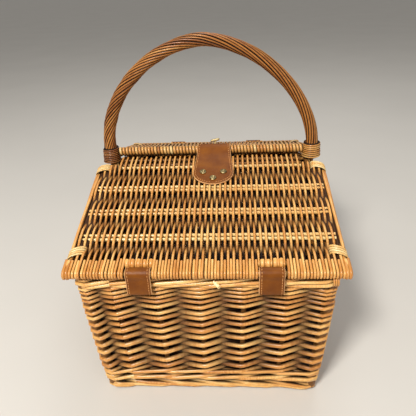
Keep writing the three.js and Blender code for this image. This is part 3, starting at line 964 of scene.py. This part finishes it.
def handleLine(count=420):
    sizes = handleSizes
    angle = np.linspace(math.pi, 0, 900)
    across = np.sign(np.cos(angle)) * np.abs(np.cos(angle)) ** (2 / sizes["power"])
    up = np.abs(np.sin(angle)) ** (2 / sizes["power"])
    x = sizes["halfSpan"] * across + sizes["lean"] * np.sin(angle)
    z = sizes["spring"] + sizes["rise"] * up
    x = np.concatenate([[-sizes["halfSpan"]], x, [sizes["halfSpan"]]])
    z = np.concatenate([[sizes["footHeight"]], z, [sizes["footHeight"]]])
    travel = np.concatenate([[0], np.cumsum(np.hypot(np.diff(x), np.diff(z)))])
    even = np.linspace(0, travel[-1], count)
    return np.interp(even, travel, x), np.interp(even, travel, z), even


handleX, handleZ, travel = handleLine()
aheadX = np.gradient(handleX)
aheadZ = np.gradient(handleZ)
for _ in range(6):  # the arch meets the upright ends without a kink
    for ahead in (aheadX, aheadZ):
        ahead[1:-1] = (ahead[:-2] + ahead[1:-1] + ahead[2:]) / 3
handleOut = track(-aheadZ, 0, aheadX) / np.hypot(aheadX, aheadZ)[:, None]
centreLine = track(handleX, 0, handleZ)
share = np.clip((travel / travel[-1] - 0.2) / 0.5, 0, 1)
turnRate = (1 - share) / handleSizes["turnLeft"] + share / handleSizes["turnRight"]
twist = np.concatenate([[0], np.cumsum((turnRate[1:] + turnRate[:-1]) / 2 * np.diff(travel))]) * 2 * math.pi

handle = Rods()
# Painted shade: the dark core shows as shadow between the strands
handle.add(centreLine, handleSizes["coreRadius"], 0.2, 0.02, (0, 1, 0))
for strand in range(handleSizes["strands"]):
    turn = twist + strand * 2 * math.pi / handleSizes["strands"] + dice.normal(0, 0.03)
    reach = handleSizes["strandRing"] + 0.25 * np.sin(travel / 40 + strand * 1.7)
    radial = np.cos(turn)[:, None] * handleOut + track(0, -np.sin(turn), 0)
    thick = handleSizes["strandRadius"] * (1 + dice.normal(0, 0.07))
    thick = thick * (1 + 0.06 * np.sin(travel / 55 + strand))
    tint = 0.5 + dice.normal(0, 0.1) + 0.05 * np.sin(travel / 35 + strand * 1.3)
    # strands get strong painted shade, lit on their outward side and dark in the grooves
    handle.add(centreLine + reach[:, None] * radial, thick, tint, -0.6, radial, 1.6)
handleRods = handle.grow("handle_rope_twist", handleWillow, 10)
print("handle", len(handleRods.data.polygons))

collarSizes = {
    "footReach": 12.0,
    "headReach": 10.6,
    "left": {"low": 251.4, "high": 274.5, "turns": 8.2, "rodRadius": 1.12, "tint": 0.66},
    "right": {"low": 254.0, "high": 277.0, "turns": 7.2, "rodRadius": 1.48, "tint": 0.58},
}


def collar(hand, name, finish, sizes):
    wraps = Rods()
    centreX = hand * handleSizes["halfSpan"]
    low = sizes["low"] + sizes["rodRadius"]
    high = sizes["high"] - sizes["rodRadius"]
    count = int(sizes["turns"] * 28)
    turn = np.linspace(0, sizes["turns"] * 2 * math.pi, count) + math.pi / 2
    climb = np.linspace(0, 1, count)
    narrowing = collarSizes["headReach"] - collarSizes["footReach"]
    reach = collarSizes["footReach"] + narrowing * climb + 0.2 * np.sin(turn * 0.37)
    outward = track(np.cos(turn), np.sin(turn), 0)
    middle = track(centreX, 0, low + (high - low) * climb + 0.35 * np.sin(turn * 0.9))
    tint = sizes["tint"] + 0.1 * np.sin(turn * 0.23)
    # the wraps get strong painted shade, lit outward and dark in the grooves
    wraps.add(middle + reach[:, None] * outward, sizes["rodRadius"], tint, -0.5, outward, 1.5)
    # Painted shade: the dark core shows as shadow between the wraps
    core = np.linspace(collarSizes["footReach"], collarSizes["headReach"], 6) - 0.5
    wraps.add(track(centreX, 0, np.linspace(low, high + 0.4, 6)), core, 0.3, 0.05, (0, 1, 0))
    return wraps.grow(name, finish, 10)


collarLeft = collar(-1, "collar_left_binding", darkWillow, collarSizes["left"])
collarRight = collar(1, "collar_right_binding", willow, collarSizes["right"])

barSizes = {
    "height": 267.0,
    "halfLength": 134.0,
    "reach": 4.7,
    "coreRadius": 4.5,
    "pitch": 4.7,
    "skeinHalfWidth": 2.4,
}
bar = Rods()
barEnd = barSizes["halfLength"]
barTurns = 2 * barEnd / barSizes["pitch"]
count = int(barTurns * 16)
turn = np.linspace(0, barTurns * 2 * math.pi, count)
outward = track(0, np.cos(turn), np.sin(turn))
line = track(np.linspace(-barEnd, barEnd, count), 0, barSizes["height"]) + barSizes["reach"] * outward
barTint = 0.56 + 0.09 * np.repeat(dice.normal(0, 1, int(barTurns) + 2), 16)[:count]
# the skeins get strong painted shade, lit outward and dark in the grooves
bar.add(line, barSizes["skeinHalfWidth"], barTint, -0.5, outward, 1.5)
barWraps = bar.grow("centre_bar_wraps", paleWillow, flatness=0.6)
# Painted shade: the dark core shows as shadow between the skeins
core = Rods()
core.add(track(np.linspace(-barEnd, barEnd, 8), 0, barSizes["height"]), barSizes["coreRadius"], 0.2, 0.05)
barCore = core.grow("centre_bar_core", willow, 12)
print("collars and bar made")


# Leather: loops, flap and their stitches

strapSizes = {
    "x": 74.0,
    "width": 28.0,
    "thickness": 2.3,
    "near": -214.6,
    "far": -197.7,
    "low": 175.2,
    "rimTop": 193.0,
    "stickRadius": 5.2,
    "bend": 2.6,
    "stitchInset": 2.8,
    "stitchPitch": 3.3,
}


def arc(centreX, centreY, radius, first, last, steps):
    turns = np.linspace(first, last, steps)
    return [(centreX + radius * math.cos(turn), centreY + radius * math.sin(turn)) for turn in turns]


def circle(radius, steps):
    return arc(0, 0, radius, 0, 2 * math.pi * (1 - 1 / steps), steps)


def strapLine():  # the middle of the leather, as (y, z), round the hinge stick and the rim
    sizes = strapSizes
    grow = sizes["thickness"] / 2
    bend = sizes["bend"]
    near = sizes["near"] - grow
    far = sizes["far"] + grow
    low = sizes["low"] - grow
    points = arc(far - bend, low + bend, bend, -math.pi / 2, 0.0, 6)
    points += [(far, sizes["rimTop"] - 4.0), (far, sizes["rimTop"])]
    points += arc(-hingeY, hingeZ, sizes["stickRadius"] + grow, -0.15, math.pi + 0.1, 16)
    for z in np.linspace(hingeZ - 4, low + bend + 2, 7):
        points.append((near - 0.5 * math.sin((z - low) / 20.0 * math.pi), z))
    return np.array(points + arc(near + bend, low + bend, bend, math.pi, 1.5 * math.pi, 6))


def leatherSection(width, thickness):  # across, height, and how near the cut edge, 0 to 1
    across = np.array([-1, -0.97, -0.9, -0.75, -0.5, 0, 0.5, 0.75, 0.9, 0.97, 1]) * width / 2
    top = thickness / 2 * (1 - 0.45 * np.abs(across / (width / 2)) ** 14)
    loop = np.concatenate([np.stack([across, top], 1), np.stack([across[::-1], -top[::-1]], 1)])
    wear = np.clip((np.abs(loop[:, 0]) - width / 2 + 1.6) / 1.6, 0, 1)
    return loop, wear


def skinLoops(name, loops, asRing=False, smooth=False):  # with flat ends, unless the loops close into a ring
    count = len(loops[0])
    rings = len(loops)
    faces = []
    for ring in range(rings if asRing else rings - 1):
        here = ring * count
        ahead = (ring + 1) % rings * count
        for step in range(count):
            after = (step + 1) % count
            faces.append((here + step, here + after, ahead + after, ahead + step))
    if not asRing:
        faces.append(tuple(reversed(range(count))))
        faces.append(tuple(range((rings - 1) * count, rings * count)))
    mesh = plainMesh(name, np.concatenate(loops), (), faces)
    work = bmesh.new()
    work.from_mesh(mesh)
    bmesh.ops.recalc_face_normals(work, faces=work.faces)
    work.to_mesh(mesh)
    work.free()
    mesh.polygons.foreach_set("use_smooth", [smooth] * len(mesh.polygons))
    return mesh


def makeObject(name, mesh, finish):
    mesh.materials.clear()
    mesh.materials.append(finish)
    piece = bpy.data.objects.new(name, mesh)
    bpy.context.scene.collection.objects.link(piece)
    return piece


def stitchShape():  # one raised stitch, lying along X
    loops = []
    for share in np.linspace(-1, 1, 7):
        thick = 0.42 * math.sqrt(max(1 - share ** 2 * 0.93, 0.01))
        loops.append([(share * 1.25, y, z - share ** 2 * 0.25) for y, z in circle(thick, 8)])
    return skinLoops("stitch", loops)


def scatter(name, places, outward, forward, shape, finish):
    mesh = plainMesh(name, places)
    addValues(mesh, "outward", outward)
    addValues(mesh, "forward", forward)
    pattern = bpy.data.objects.new(name + "Pattern", shape)
    piece = bakeTree(name, mesh, shapesOnPoints, {"Shape": pattern, "Size": 1.0, "Finish": finish})
    piece.data.polygons.foreach_set("use_smooth", [True] * len(piece.data.polygons))
    bpy.data.objects.remove(pattern)
    return piece


strapShape = strapLine()
ahead = np.roll(strapShape, -1, 0) - np.roll(strapShape, 1, 0)
ahead = ahead / np.linalg.norm(ahead, axis=1)[:, None]
strapNormals = np.stack([ahead[:, 1], -ahead[:, 0]], 1)
if np.sum((strapShape - strapShape.mean(0)) * strapNormals) < 0:
    strapNormals = -strapNormals
section, wear = leatherSection(strapSizes["width"], strapSizes["thickness"])
straps = []
stitchPlaces = []
stitchOut = []
stitchAhead = []
strapSteps = np.concatenate([[0], np.cumsum(np.linalg.norm(np.diff(strapShape, axis=0), axis=1))])
for end, side in (("front", -1), ("rear", 1)):
    for hand, place in (("left", -1), ("right", 1)):
        x = place * strapSizes["x"]
        line = track(x, -side * strapShape[:, 0], strapShape[:, 1])
        normals = track(0, -side * strapNormals[:, 0], strapNormals[:, 1])
        loops = [spot + track(section[:, 0], normal[1] * section[:, 1], normal[2] * section[:, 1])
                 for spot, normal in zip(line, normals)]
        mesh = skinLoops("hinge_loop", loops, True, True)
        addValues(mesh, "edgeWear", np.tile(wear, len(line)))
        straps.append(makeObject("hinge_loop_%s_%s" % (end, hand), mesh, leather))
        for edge in (-1, 1):
            across = edge * (strapSizes["width"] / 2 - strapSizes["stitchInset"])
            for distance in np.arange(strapSteps[6], strapSteps[-1] - 1.0, strapSizes["stitchPitch"]):
                y = np.interp(distance, strapSteps, line[:, 1])
                z = np.interp(distance, strapSteps, line[:, 2])
                nearest = int(np.clip(np.searchsorted(strapSteps, distance), 1, len(line) - 1))
                ahead = line[nearest] - line[nearest - 1]
                ahead = ahead / np.linalg.norm(ahead)
                out = np.array([0, -ahead[2], ahead[1]])
                out = out * np.sign(out @ normals[nearest])
                stitchPlaces.append(np.array([x + across, y, z]) + out * (strapSizes["thickness"] / 2 + 0.1))
                stitchOut.append(out)
                stitchAhead.append(ahead)
strapStitches = scatter("hinge_loop_stitches", stitchPlaces, stitchOut, stitchAhead, stitchShape(), thread)
print("straps", len(strapStitches.data.polygons))

flapSizes = {
    "front": -76.0,
    "fold": -39.0,
    "rear": 50.0,
    "frontHalfWidth": 27.5,
    "rearHalfWidth": 23.0,
    "shoulder": 22.0,
    "thickness": 2.4,
    "crest": 6.0,
    "crestWidth": 13.0,
    "slotHalfLength": 8.2,
    "slotHalfWidth": 4.0,
    "lockPlace": 181.0,
    "stitchInset": 2.9,
    "stitchPitch": 3.3,
    "blendStart": -48.0,
    "blendEnd": -30.0,
}


def flapUnder(y):
    crest = flapSizes["crest"] * np.exp(-((y / flapSizes["crestWidth"]) ** 2))
    return lidTop(y) * (1 - blunt(y)) + blunt(y) * (lidTop(0) - 1.2) + 0.3 + crest


def blunt(y):  # keeps the sheet from creasing sharply where the two lids meet
    return 0.5 * np.exp(-((y / 4.0) ** 2))


def flapHalfWidth(y):
    sizes = flapSizes
    frontEdge = sizes["front"] + sizes["shoulder"]
    rearEdge = sizes["rear"] - sizes["shoulder"]
    straight = np.interp(y, [frontEdge, 0], [sizes["frontHalfWidth"], sizes["rearHalfWidth"]])
    frontEnd = np.sqrt(np.clip(1 - ((frontEdge - y) / sizes["shoulder"]) ** 2, 0, 1))
    rearEnd = np.sqrt(np.clip(1 - ((y - rearEdge) / sizes["shoulder"]) ** 2, 0, 1))
    return straight * np.where(y < frontEdge, frontEnd, 1) * np.where(y > rearEdge, rearEnd, 1)


def flapMesh():
    sizes = flapSizes
    ends = np.sin(np.linspace(math.pi / 2 - 0.02, 0, 12)) * sizes["shoulder"]
    frontEdge = sizes["front"] + sizes["shoulder"]
    rearEdge = sizes["rear"] - sizes["shoulder"]
    straight = np.arange(frontEdge + 1.5, rearEdge - 0.5, 1.5)
    rows = np.concatenate([frontEdge - ends, straight, rearEdge + ends[::-1]])
    half = np.array([0, 0.25, 0.5, 0.7, 0.85, 0.94, 0.985, 1])
    columns = np.concatenate([-half[:0:-1], half])
    loops = []
    wears = []
    for y, rate in zip(rows, np.gradient(flapUnder(rows), rows)):
        reach = float(flapHalfWidth(np.array(y)))
        normal = np.array([0, -rate, 1]) / math.hypot(1, rate)
        outline = min(reach, min(y - sizes["front"], sizes["rear"] - y) + 0.4)
        edge = 1 - np.clip((1 - np.abs(columns)) * reach / 1.5, 0, 1)
        if outline < 1.5:
            edge = np.maximum(edge, 1 - outline / 1.5)
        middle = track(closureX + columns * reach, y, float(flapUnder(y)))
        top = middle + (sizes["thickness"] * (1 - 0.22 * edge ** 2))[:, None] * normal
        bottom = middle + (0.2 * edge ** 2)[:, None] * normal
        loops.append(np.concatenate([top, bottom[::-1]]))
        wears += [edge, edge[::-1]]
    mesh = skinLoops("flap", loops)
    addValues(mesh, "edgeWear", np.concatenate(wears))
    return mesh


def slotOutline(halfLength, halfWidth, steps=10):
    reach = halfLength - halfWidth
    right = arc(reach, 0, halfWidth, -math.pi / 2, math.pi / 2, steps)
    return np.array(right + arc(-reach, 0, halfWidth, math.pi / 2, 1.5 * math.pi, steps))


def lockLoops(name, loops, asRing=False, smooth=False):  # loops in the lock's own frame on the rear lid
    placed = [onLid(1, track(loop[:, 0] - closureX, loop[:, 1] + flapSizes["lockPlace"], loop[:, 2]))
              for loop in loops]
    return skinLoops(name, placed, asRing, smooth)


def lifted(outline, height):
    return track(outline[:, 0], outline[:, 1], height)


flapPiece = makeObject("flap_leather", flapMesh(), leather)
slotEdge = slotOutline(flapSizes["slotHalfLength"], flapSizes["slotHalfWidth"])
slotMesh = lockLoops("slotCutter", [lifted(slotEdge, 3.0), lifted(slotEdge, 16.0)])
slotCutter = makeObject("slotCutter", slotMesh, leather)
cutting = flapPiece.modifiers.new("slot", "BOOLEAN")
cutting.operation = "DIFFERENCE"
cutting.solver = "EXACT"
cutting.object = slotCutter
cutMesh = bpy.data.meshes.new_from_object(flapPiece.evaluated_get(bpy.context.evaluated_depsgraph_get()))
flapPiece.modifiers.clear()
flapPiece.data = cutMesh
bpy.data.objects.remove(slotCutter)
for polygon in flapPiece.data.polygons:
    polygon.use_smooth = abs(polygon.normal.z) > 0.5

seamPlaces = []
seamOut = []
seamAhead = []
outlineY = np.concatenate([np.linspace(flapSizes["front"] + 0.2, -54, 30), np.linspace(-53, 27, 60),
                           np.linspace(28, flapSizes["rear"] - 0.2, 30)])
for hand in (-1, 1):
    edgeLine = np.stack([hand * flapHalfWidth(outlineY), outlineY], 1)
    ahead = np.gradient(edgeLine, axis=0)
    ahead = ahead / np.linalg.norm(ahead, axis=1)[:, None]
    inward = np.stack([-ahead[:, 1], ahead[:, 0]], 1) * hand
    seam = edgeLine + inward * flapSizes["stitchInset"]
    steps = np.concatenate([[0], np.cumsum(np.linalg.norm(np.diff(seam, axis=0), axis=1))])
    for distance in np.arange(1.5, steps[-1] - 1.0, flapSizes["stitchPitch"]):
        x, y = [np.interp(distance, steps, seam[:, axis]) for axis in (0, 1)]
        nextX, nextY = [np.interp(distance + 0.5, steps, seam[:, axis]) for axis in (0, 1)]
        rate = float(flapUnder(y + 0.1) - flapUnder(y - 0.1)) / 0.2
        normal = np.array([0, -rate, 1.0]) / math.hypot(1, rate)
        under = np.array([closureX + x, y, float(flapUnder(y))])
        seamPlaces.append(under + normal * (flapSizes["thickness"] + 0.05))
        seamOut.append(normal)
        seamAhead.append([nextX - x, nextY - y, rate * (nextY - y)])
flapStitches = scatter("flap_stitches", seamPlaces, seamOut, seamAhead, stitchShape(), thread)
print("flap", len(flapPiece.data.polygons))


# Brass: outlines are lifted, narrowed or turned, then joined by a skin

brassSizes = {
    "eyeletOuter": (12.0, 7.6),
    "eyeletInner": (8.0, 3.8),
    "eyeletProfile": [(0, 8.15), (0, 8.5), (0.15, 9.0), (0.5, 9.15), (0.75, 9.6), (0.95, 9.5), (1, 9.0),
                      (1, 6.2), (0.95, 8.1)],  # share of the way inwards, height
    "plate": (7.2, 3.4),
    "bar": (7.0, 2.4),
    "barProfile": [(0.9, 0.85, 15.0), (1.0, 1.0, 15.5), (1.0, 1.0, 17.4), (0.94, 0.86, 18.4),
                   (0.7, 0.5, 18.95)],  # length, width, height
    "barTilt": math.radians(9.0),
    "barRise": 0.2,
    "postProfile": [(2.2, 6.6), (2.2, 7.2), (1.8, 7.6), (1.8, 14.2), (2.3, 14.8), (2.3, 15.3)],
    "rivets": [(-14.0, 166.0), (14.0, 166.0), (0.0, 153.0)],
    "rivetProfile": [(1.5, -6.2), (3.4, -6.1), (3.5, -5.8), (1.5, -5.7), (1.5, 8.0), (4.5, 8.2), (4.7, 8.8),
                     (4.5, 9.4), (3.7, 9.9), (3.0, 9.9), (2.4, 9.3), (1.6, 9.0), (0.8, 9.2), (0.3, 9.3)],
}

eyeletOuter = slotOutline(*brassSizes["eyeletOuter"])
eyeletInner = slotOutline(*brassSizes["eyeletInner"])
eyeletMesh = lockLoops("eyelet", [
    lifted(eyeletOuter + (eyeletInner - eyeletOuter) * share, height)
    for share, height in brassSizes["eyeletProfile"]], True)
eyelet = makeObject("flap_eyelet_plate", eyeletMesh, agedBrass)

plateOutline = slotOutline(*brassSizes["plate"])
plateTop = lifted(plateOutline * (0.93, 0.88), 6.55)
plateLoops = [lifted(plateOutline, 5.55), lifted(plateOutline, 6.2), plateTop]
lockPlate = makeObject("lock_base_plate", lockLoops("lockPlate", plateLoops), agedBrass)


def barLoop(scaleX, scaleY, height):  # the bar also stands a little higher at one end
    x, y = slotOutline(*brassSizes["bar"], 12).T
    waist = 1.0 - 0.25 * np.exp(-(x / 3.2) ** 2)
    x = x * scaleX
    y = y * scaleY * waist
    tilt = brassSizes["barTilt"]
    return track(x * math.cos(tilt) - y * math.sin(tilt), x * math.sin(tilt) + y * math.cos(tilt),
                 height - x * brassSizes["barRise"])


barMesh = lockLoops("turnBar", [barLoop(*given) for given in brassSizes["barProfile"]], False, True)
turnBarPiece = makeObject("turn_button_bar", barMesh, paleBrass)
postLoops = [lifted(np.array(circle(radius, 24)), height) for radius, height in brassSizes["postProfile"]]
turnPost = makeObject("turn_button_post", lockLoops("turnPost", postLoops), paleBrass)

rivetLoops = [lifted(np.array(circle(radius, 20)), height) for radius, height in brassSizes["rivetProfile"]]
rivetSpots = onLid(-1, [(closureX + x, y, 0.0) for x, y in brassSizes["rivets"]])
rivets = scatter("flap_rivet_heads", rivetSpots, [lidNormal(-1)] * 3, [[1.0, 0, 0]] * 3,
                 skinLoops("rivet", rivetLoops), agedBrass)
print("brass made")


# What rides on what

def settle(piece, body, slot, *nodes):
    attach(piece, body)
    if nodes:
        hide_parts(*nodes)


settle(baseWeave, "basket", "willow", "base_panel")
settle(footWeave, "basket", "pale_willow", "foot_border")
settle(waleWeave, "basket", "pale_willow", "lower_wale")
settle(sidingWeave, "basket", "willow", "front_siding", "rear_siding", "left_siding", "right_siding")
settle(wallFilling, "basket", "willow")
posts = ["corner_post_%s_%s" % (end, hand) for end in ("front", "rear") for hand in ("left", "right")]
settle(stakeRods, "basket", "willow", *posts, "handle_leg_left", "handle_leg_right")
settle(rimWeave, "basket", "pale_willow", "front_rim", "rear_rim", "left_rim", "right_rim")
settle(handleRods, "basket", "willow", "handle_bow")
settle(collarLeft, "basket", "dark_willow", "handle_collar_left")
settle(collarRight, "basket", "willow", "handle_collar_right")
settle(barCore, "basket", "willow")
settle(barWraps, "basket", "pale_willow", "centre_bar")
settle(strapStitches, "basket", "leather")
for piece in straps:
    settle(piece, "basket", "leather", piece.name.replace("loop", "strap"))
for lidName, (weave, sticks, rails, ties) in lidPieces.items():
    crossSticks = ["%s_cross_stick_%d" % (lidName, number) for number in range(1, 9)]
    settle(weave, lidName, "willow", lidName + "_weave")
    settle(sticks, lidName, "pale_willow", lidName + "_hinge_stick", lidName + "_inner_stick", *crossSticks)
    settle(rails, lidName, "willow", lidName + "_left_rail", lidName + "_right_rail")
    settle(ties, lidName, "pale_willow")
foldZ = float(flapUnder(np.array(flapSizes["fold"]))) * mm
for piece in (flapPiece, flapStitches):
    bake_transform(piece)
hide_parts("flap_base", "closure_flap")
settle(eyelet, "flap", "brass", "flap_eyelet")
settle(lockPlate, "rear_lid", "brass", "lock_plate")
settle(turnBarPiece, "turn_button", "brass", "turn_button")
settle(turnPost, "turn_button", "brass")
settle(rivets, "front_lid", "brass", "flap_rivet_1", "flap_rivet_2", "flap_rivet_3")
print("pieces ride")


# Floor, light and camera

floorLook = {"reach": 60000.0, "low": linear(205, 201, 194), "high": linear(214, 210, 203)}


def floorFinish():
    material, board = newFinish("paleFloor")
    cloud = board.noise(board.objectPlace(), 3.0)
    board.finish({"Base Color": board.mix(cloud, floorLook["low"], floorLook["high"])}, {"Roughness": 0.75})
    return material


floorSigns = ((-1, -1), (1, -1), (1, 1), (-1, 1))
floorCorners = [(x * floorLook["reach"], y * floorLook["reach"], 0) for x, y in floorSigns]
floorMesh = plainMesh("studio_floor", floorCorners, (), [(0, 1, 2, 3)])
floor = makeObject("studio_floor", floorMesh, floorFinish())

studio = {
    "key": {"place": (-0.6, -1.35, 1.75), "size": 0.4, "power": 47.0, "colour": (1.0, 0.97, 0.92)},
    "fill": {"place": (1.2, -1.6, 1.0), "size": 1.0, "power": 5.0, "colour": (1.0, 0.98, 0.95)},
    "top": {"place": (0.3, 0.8, 2.1), "size": 0.9, "power": 10.0, "colour": (1.0, 1.0, 1.0)},
    "sky": (1.0, 0.98, 0.95, 1.0),
    "skyStrength": 0.34,
}
aim = Vector((0, 0, 0.15))
for name in ("key", "fill", "top"):
    given = studio[name]
    lamp = bpy.data.lights.new(name + "Light", "AREA")
    lamp.size = given["size"]
    lamp.energy = given["power"]
    lamp.color = given["colour"]
    holder = bpy.data.objects.new(name + "Light", lamp)
    holder.location = given["place"]
    holder.rotation_euler = (aim - Vector(given["place"])).to_track_quat("-Z", "Y").to_euler()
    bpy.context.scene.collection.objects.link(holder)
sky = bpy.data.worlds.new("studioSky")
sky.use_nodes = True
sky.node_tree.nodes["Background"].inputs["Color"].default_value = studio["sky"]
sky.node_tree.nodes["Background"].inputs["Strength"].default_value = studio["skyStrength"]
bpy.context.scene.world = sky
bpy.context.scene.view_settings.view_transform = "Standard"

cameraSizes = {
    "place": (0.0314, -0.5888, 0.4834),
    "pitch": math.radians(28.0),
    "yaw": math.radians(-3.7),
    "roll": math.radians(-2.4),
    "lens": 36.65,
}
pitch = cameraSizes["pitch"]
yaw = cameraSizes["yaw"]
roll = cameraSizes["roll"]
ahead = Vector((math.sin(yaw) * math.cos(pitch), math.cos(yaw) * math.cos(pitch), -math.sin(pitch)))
level = Vector((math.cos(yaw), -math.sin(yaw), 0))
upright = level.cross(ahead)
right = level * math.cos(roll) + upright * math.sin(roll)
up = upright * math.cos(roll) - level * math.sin(roll)
lens = bpy.data.cameras.new("view")
lens.lens = cameraSizes["lens"]
lens.sensor_width = 36.0
lens.clip_start = 0.01
camera = bpy.data.objects.new("view", lens)
camera.matrix_world = Matrix((
    (right.x, up.x, -ahead.x, cameraSizes["place"][0]),
    (right.y, up.y, -ahead.y, cameraSizes["place"][1]),
    (right.z, up.z, -ahead.z, cameraSizes["place"][2]),
    (0, 0, 0, 1)))
bpy.context.scene.collection.objects.link(camera)
bpy.context.scene.camera = camera
